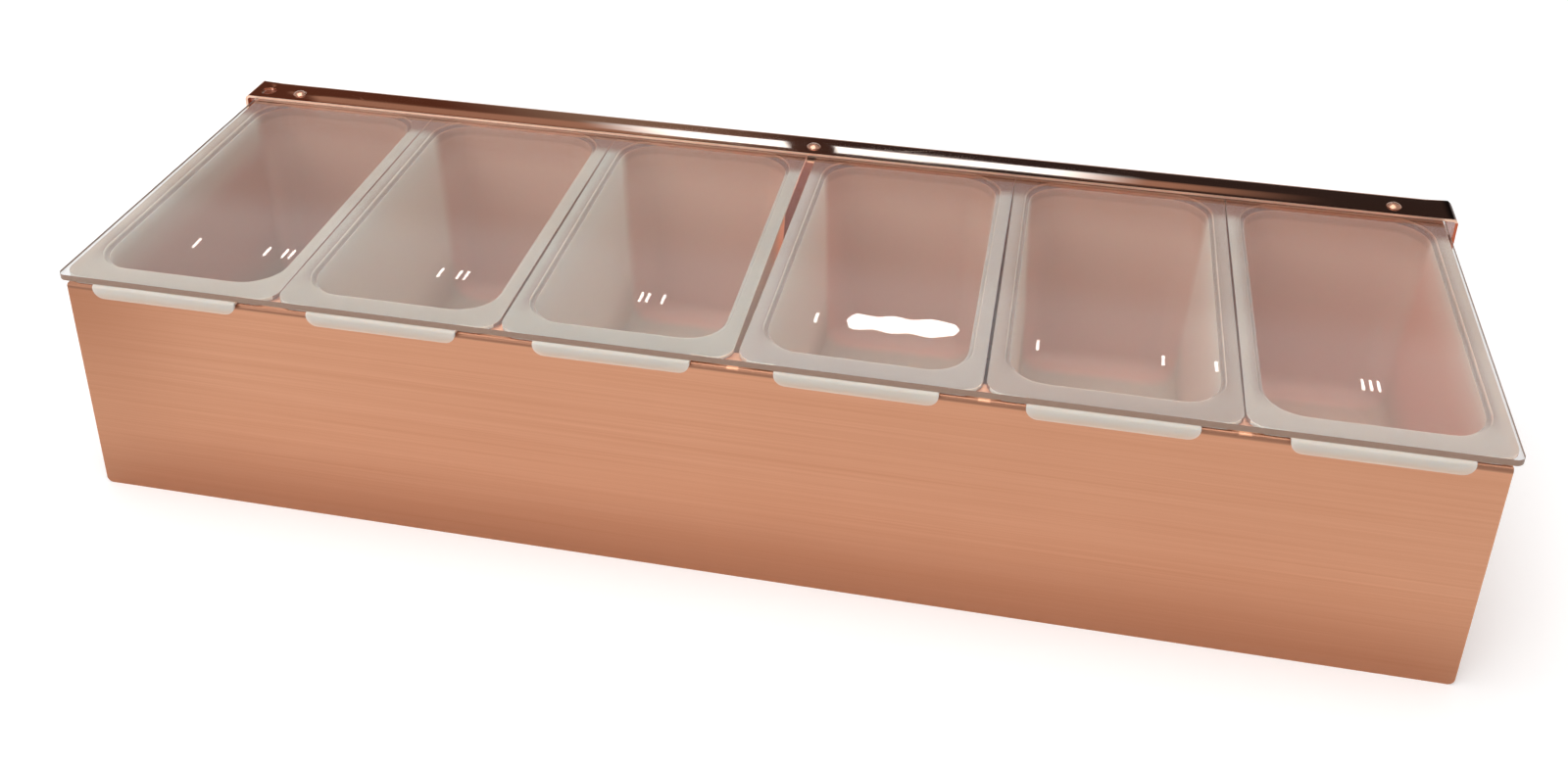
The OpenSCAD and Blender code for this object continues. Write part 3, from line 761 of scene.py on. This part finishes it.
def buildInsert(seat):
    look = insertLook
    size = insertSizes(seat["node"])
    bm = bmesh.new()
    drawRim(bm, size, seat["bow"])
    foldTab(bm, size)
    drawWalls(bm, size)
    # its seat in the row, each a touch askew
    centre = (0, (size["rimRear"] + size["rimFront"]) / 2, 0)
    turn = Matrix.Rotation(math.radians(seat["turn"]), 3, "Z")
    bmesh.ops.rotate(bm, cent=centre, matrix=turn, verts=bm.verts[:])
    pastFront = max(0, size["tabFront"] - min(vert.co.y for vert in bm.verts))
    bmesh.ops.translate(bm, vec=(size["place"] + seat["slide"] * mm, pastFront, 0), verts=bm.verts[:])
    name = "insert" + seat["node"][-1]
    mesh = bpy.data.meshes.new(name)
    finishMesh(mesh, bm, look["sharp"])
    material = makeFrosted(name + "Frosted", cad[seat["node"]], seat["tint"], seat["rim"])
    piece = newPiece(name, mesh, material, "box", "frosted_plastic", seat["node"])
    wall = piece.modifiers.new("wall", "SOLIDIFY")
    wall.thickness = look["wall"] * mm
    wall.offset = -1
    wall.use_even_offset = True
    softenEdges(piece, look["softness"], look["softAngle"], look["softSteps"])


for seat in insertSeats:
    buildInsert(seat)
print("inserts built")


# Lid, hinge strip and small parts
lidLook = {"edgeReach": 3.0, "rearReach": 1.0, "upright": 0.5}


def dressLid():
    # the sheet's outer edges get the sawn material, the holes' walls stay clear
    look = lidLook
    piece = dressNode("lid_panel", "lidPanel", lidClear, "lid", "clear_acrylic", edgeBreaks["lid"],
                      sheetSharp)
    piece.data.materials.append(lidEdge)
    low, high = cad["lid_panel"]
    for face in piece.data.polygons:
        atEnd = high.x - abs(face.center.x) < look["edgeReach"] * mm
        atFront = face.center.y - low.y < look["edgeReach"] * mm
        atRear = high.y - face.center.y < look["rearReach"] * mm
        face.material_index = int(abs(face.normal.z) < look["upright"] and (atEnd or atFront or atRear))


stripLook = {"crown": 0.20, "apex": -0.69, "wave": 0.03, "waveLength": 95.0, "lengthCuts": 60, "widthCuts": 9,
             "endFade": 8.0, "endFlat": 1.5, "dimple": 0.08, "dimpleReach": 6.0, "dimpleCuts": 7,
             "dimpleSpan": 12.0}
rivetPlaces = ("left", "middle", "right")


def buildStrip():
    look = stripLook
    low, high = cad["hinge_strip"]
    lidTop = cad["lid_panel"][1].z
    rivets = [sum((Vector(corner) for corner in cad["lid_rivet_" + place]), Vector()) / 2
              for place in rivetPlaces]
    mesh, bm = mergedCopy("hinge_strip")
    cuts = [low.x + (high.x - low.x) * k / look["lengthCuts"] for k in range(1, look["lengthCuts"])]
    for rivet in rivets:
        span = look["dimpleSpan"] * mm
        cuts += [rivet.x - span + 2 * span * k / look["dimpleCuts"] for k in range(look["dimpleCuts"] + 1)]
    for x in sorted(cuts):
        cutThrough(bm, 0, x)
    for k in range(1, look["widthCuts"]):
        cutThrough(bm, 1, low.y + (high.y - low.y) * k / look["widthCuts"])
    # the top face bows a little across its width, ripples along its length and is pulled in round each rivet
    for vert in bm.verts:
        share = min(1, max(0, (vert.co.z - lidTop) / (high.z - lidTop)))
        across = (vert.co.y - low.y) / (high.y - low.y) * 2 - 1 - look["apex"]
        fromEnd = high.x - look["endFlat"] * mm - abs(vert.co.x)
        inside = min(1, max(0, fromEnd / (look["endFade"] * mm)))
        ripple = 1 + math.sin(vert.co.x / (look["waveLength"] * mm) * 2 * math.pi)
        drop = look["crown"] * across * across + look["wave"] * ripple / 2
        for rivet in rivets:
            away = (vert.co.xy - rivet.xy).length / (look["dimpleReach"] * mm)
            drop += look["dimple"] * math.exp(-away * away)
        vert.co.z -= drop * share * inside * mm
    finishMesh(mesh, bm, sheetSharp)
    piece = newPiece("hingeStrip", mesh, stripMirror, "lid", "polished_copper", "hinge_strip")
    softenEdges(piece, edgeBreaks["strip"], sheetSharp)


dressLid()
buildStrip()
endParts = (("hinge_pin_", "hingePin", rivetMirror, "rivet_copper", "pin"),
            ("spacer_bush_", "spacerBush", copperBush, "bush_copper", "bush"),
            ("backing_washer_", "backingWasher", washerSteel, "washer_steel", "washer"))
for place in ("left", "right"):
    for node, pieceName, material, slotName, kind in endParts:
        dressNode(node + place, pieceName + place.title(), material, "box", slotName, edgeBreaks[kind],
                  turnedSharp)
for place in rivetPlaces:
    dressNode("lid_rivet_" + place, "lidRivet" + place.title(), rivetMirror, "lid", "rivet_copper",
              edgeBreaks["rivet"], turnedSharp)
print("lid, strip and small parts dressed")


# Stage, lamps and camera
stageLook = {"floor": (0.86, 0.86, 0.86, 1), "roughness": 0.9, "gloss": 0.1, "lift": 0.24, "size": 12.0}
cardLook = {"y": 1.7, "half": 1.5, "bottom": 0.55, "top": 1.18, "left": (0.12, 0.055, 0.036, 1),
            "middle": (0.27, 0.24, 0.20, 1), "right": (0.04, 0.035, 0.035, 1), "tan": (0.45, 0.34, 0.275, 1),
            "glare": (2.4, 3.6, 4.4, 1), "veil": (0.7, 0.7, 0.7, 1), "veilFade": (-0.10, -0.02),
            "toRight": (-0.60, -0.05), "middleRun": (-0.85, -0.56, -0.50, -0.22),
            "stripe": (0.775, 0.912), "stripeRun": (-0.62, -0.42, 0.06, 0.24), "soft": 0.010,
            "leftBand": (0.82, 0.95), "leftRun": (-1.085, -1.05, -0.60, -0.40), "leftSoft": 0.020,
            "rightBand": (0.815, 0.935), "rightRun": (0.08, 0.20, 0.24, 0.50), "rightSoft": 0.030,
            "breakLeft": -0.288, "breakRight": -0.224}
lampWarm = (1, 0.98, 0.94, 1)
tubeLook = {"left": -0.416, "right": -0.10, "near": 3.36, "far": 3.44, "skew": 0.02, "z": 2.3,
            "strength": 15.0, "cuts": 24, "squareness": 10, "ripple": 0.006, "rippleTurns": 19}
spotLook = {"places": (-2.40, -2.17, -2.112, -2.09, -1.62, -1.562, -1.54, -1.01, -0.99, -0.945, -0.50, 0.117,
                       0.454, 0.594, 0.971, 0.992, 1.012),
            "width": 0.008, "near": 3.37, "far": 3.42, "strength": 13.0}
worldLook = {"light": 0.50, "seen": 0.50, "mirrored": 0.20}  # the last two are added where the world is seen
softboxes = {
    "softboxAbove": {"place": (-0.3, -0.2, 2.4), "aim": (0, 0, 0), "size": (2.2, 2.2), "power": 38},
    "softboxFront": {"place": (-1.2, -2.2, 1.3), "aim": (0, 0, 0.05), "size": (1.6, 1.2), "power": 14}}


def flatPlane(name, corners, material):
    mesh = bpy.data.meshes.new(name)
    bm = bmesh.new()
    bm.faces.new([bm.verts.new(c) for c in corners])
    bm.to_mesh(mesh)
    bm.free()
    mesh.materials.append(material)
    plane = bpy.data.objects.new(name, mesh)
    bpy.context.scene.collection.objects.link(plane)
    return plane


def makeFloor():
    look = stageLook
    material, tree, shader = newMaterial("floorPaper", Base_Color=look["floor"], Roughness=look["roughness"],
                                         Specular_IOR_Level=look["gloss"])
    path = addNode(tree, "ShaderNodeLightPath")
    lift = overlap(tree, path.outputs["Is Camera Ray"], look["lift"])
    glow = addNode(tree, "ShaderNodeEmission", None, Color=(1, 1, 1, 1), Strength=lift)
    both = addNode(tree, "ShaderNodeAddShader", None, i0=shader.outputs[0], i1=glow.outputs[0])
    tree.links.new(both.outputs[0], tree.nodes["Material Output"].inputs[0])
    half = look["size"] / 2
    flatPlane("floor", [(-half, -half, 0), (half, -half, 0), (half, half, 0), (-half, half, 0)], material)


def makeDarkCard():
    # a dim card behind, seen only in polished metal and in the lid, with one long bright stripe across it
    look = cardLook
    material, tree, shader = newMaterial("cardBrown", Base_Color=(0, 0, 0, 1), Roughness=1.0,
                                         Specular_IOR_Level=0.0, Emission_Strength=1.0)
    x, y, z = placeAxes(tree)

    def between(band, edge):
        return overlap(tree, rampFrom(tree, z, band[0], (-edge, edge)),
                       rampFrom(tree, z, band[1], (edge, -edge)))

    def along(run):
        start, full, fading, end = run
        return overlap(tree, ramp(tree, x, start, full), ramp(tree, x, end, fading))

    soft = look["soft"]
    ends = mixColour(tree, ramp(tree, x, *look["toRight"]), look["left"], look["right"])
    tone = mixColour(tree, along(look["middleRun"]), ends, look["middle"])
    leftBand = overlap(tree, between(look["leftBand"], look["leftSoft"]), along(look["leftRun"]))
    rightBand = overlap(tree, between(look["rightBand"], look["rightSoft"]), along(look["rightRun"]))
    tanned = mixColour(tree, joined(tree, leftBand, rightBand), tone, look["tan"])
    broken = joined(tree, rampFrom(tree, x, look["breakLeft"], (soft, -soft)),
                    rampFrom(tree, x, look["breakRight"], (-soft, soft)))
    bright = overlap(tree, between(look["stripe"], soft), along(look["stripeRun"]))
    lined = mixColour(tree, overlap(tree, bright, broken), tanned, look["glare"])
    veiled = mixColour(tree, rampFrom(tree, z, look["top"], look["veilFade"]), lined, look["veil"])
    tree.links.new(veiled, shader.inputs["Emission Color"])
    half, back, bottom, top = look["half"], look["y"], look["bottom"], look["top"]
    hideFromLight(flatPlane("darkCard", [(-half, back, bottom), (half, back, bottom), (half, back, top),
                                         (-half, back, top)], material))


def lampGlow(name, strength):
    return newMaterial(name, Roughness=1.0, Emission_Color=lampWarm, Emission_Strength=strength)[0]


def makeTubeLamp():
    # the long ceiling lamp that the lid mirrors
    look = tubeLook
    middle, half = (look["near"] + look["far"]) / 2, (look["far"] - look["near"]) / 2
    outline = []
    for k in range(look["cuts"] + 1):
        share = k / look["cuts"]
        width = half * (1 - (2 * share - 1) ** look["squareness"]) ** 0.5
        width += look["ripple"] * math.sin(share * look["rippleTurns"])
        x = look["left"] + (look["right"] - look["left"]) * share
        outline.append((x, middle + look["skew"] * share, width))
    corners = [(x, y - width, look["z"]) for x, y, width in outline]
    corners += [(x, y + width, look["z"]) for x, y, width in reversed(outline)]
    hideFromLight(flatPlane("tubeLamp", corners, lampGlow("tubeGlow", look["strength"])))


def makeSpotRow():
    # the row of small lamps on either side of it
    look = spotLook
    material = lampGlow("spotGlow", look["strength"])
    z, half = tubeLook["z"], look["width"] / 2
    for number, x in enumerate(look["places"]):
        corners = [(x - half, look["near"], z), (x + half, look["near"], z), (x + half, look["far"], z),
                   (x - half, look["far"], z)]
        hideFromLight(flatPlane("spotLamp" + str(number + 1), corners, material))


def hideFromLight(plane):
    # mirrored in gloss only
    plane.visible_camera = False
    plane.visible_diffuse = False
    plane.visible_shadow = False
    plane.visible_transmission = False
    plane.visible_volume_scatter = False


def makeWorld():
    look = worldLook
    world = bpy.data.worlds.new("studio")
    bpy.context.scene.world = world
    world.use_nodes = True
    tree = world.node_tree
    back = tree.nodes["Background"]
    path = addNode(tree, "ShaderNodeLightPath")
    seen = joined(tree, path.outputs["Is Camera Ray"], path.outputs["Is Transmission Ray"])
    white = calc(tree, "MULTIPLY_ADD", seen, look["seen"], look["light"])
    mirrored = calc(tree, "MULTIPLY_ADD", path.outputs["Is Glossy Ray"], look["mirrored"], white)
    tree.links.new(mirrored, back.inputs["Strength"])
    back.inputs["Color"].default_value = (1, 1, 1, 1)


def makeSoftbox(name, look):
    lamp = bpy.data.lights.new(name, "AREA")
    lamp.shape = "RECTANGLE"
    lamp.size, lamp.size_y = look["size"]
    lamp.energy = look["power"]
    holder = bpy.data.objects.new(name, lamp)
    bpy.context.scene.collection.objects.link(holder)
    holder.location = look["place"]
    facing = Vector(look["aim"]) - Vector(look["place"])
    holder.rotation_euler = facing.to_track_quat("-Z", "Y").to_euler()


makeFloor()
makeDarkCard()
makeTubeLamp()
makeSpotRow()
makeWorld()
for name, look in softboxes.items():
    makeSoftbox(name, look)

cameraLook = {"place": (88.85, -494.6, 372.5), "heading": -11.80, "tilt": 27.57, "roll": 0.57,
              "focalPixels": 1680.8, "principal": (755, 180), "image": (1600, 782), "sensor": 36.0}


def makeCamera():
    look = cameraLook
    width, height = look["image"]
    data = bpy.data.cameras.new("photoCamera")
    data.sensor_width = look["sensor"]
    data.lens = look["focalPixels"] / width * look["sensor"]
    data.shift_x = (width / 2 - look["principal"][0]) / width
    data.shift_y = (look["principal"][1] - height / 2) / width
    data.clip_start = 0.01
    camera = bpy.data.objects.new("photoCamera", data)
    bpy.context.scene.collection.objects.link(camera)
    heading, tilt, roll = [math.radians(look[key]) for key in ("heading", "tilt", "roll")]
    ahead = Vector((math.sin(heading) * math.cos(tilt), math.cos(heading) * math.cos(tilt), -math.sin(tilt)))
    right = ahead.cross(Vector((0, 0, 1))).normalized()
    up = right.cross(ahead)
    turnedRight = math.cos(roll) * right + math.sin(roll) * up
    turnedUp = math.cos(roll) * up - math.sin(roll) * right
    axes = Matrix((turnedRight, turnedUp, -ahead)).transposed().to_4x4()
    camera.matrix_world = Matrix.Translation(Vector(look["place"]) * mm) @ axes
    bpy.context.scene.camera = camera


makeCamera()
bpy.context.scene.view_settings.view_transform = "Standard"
print("stage, lamps and camera set")
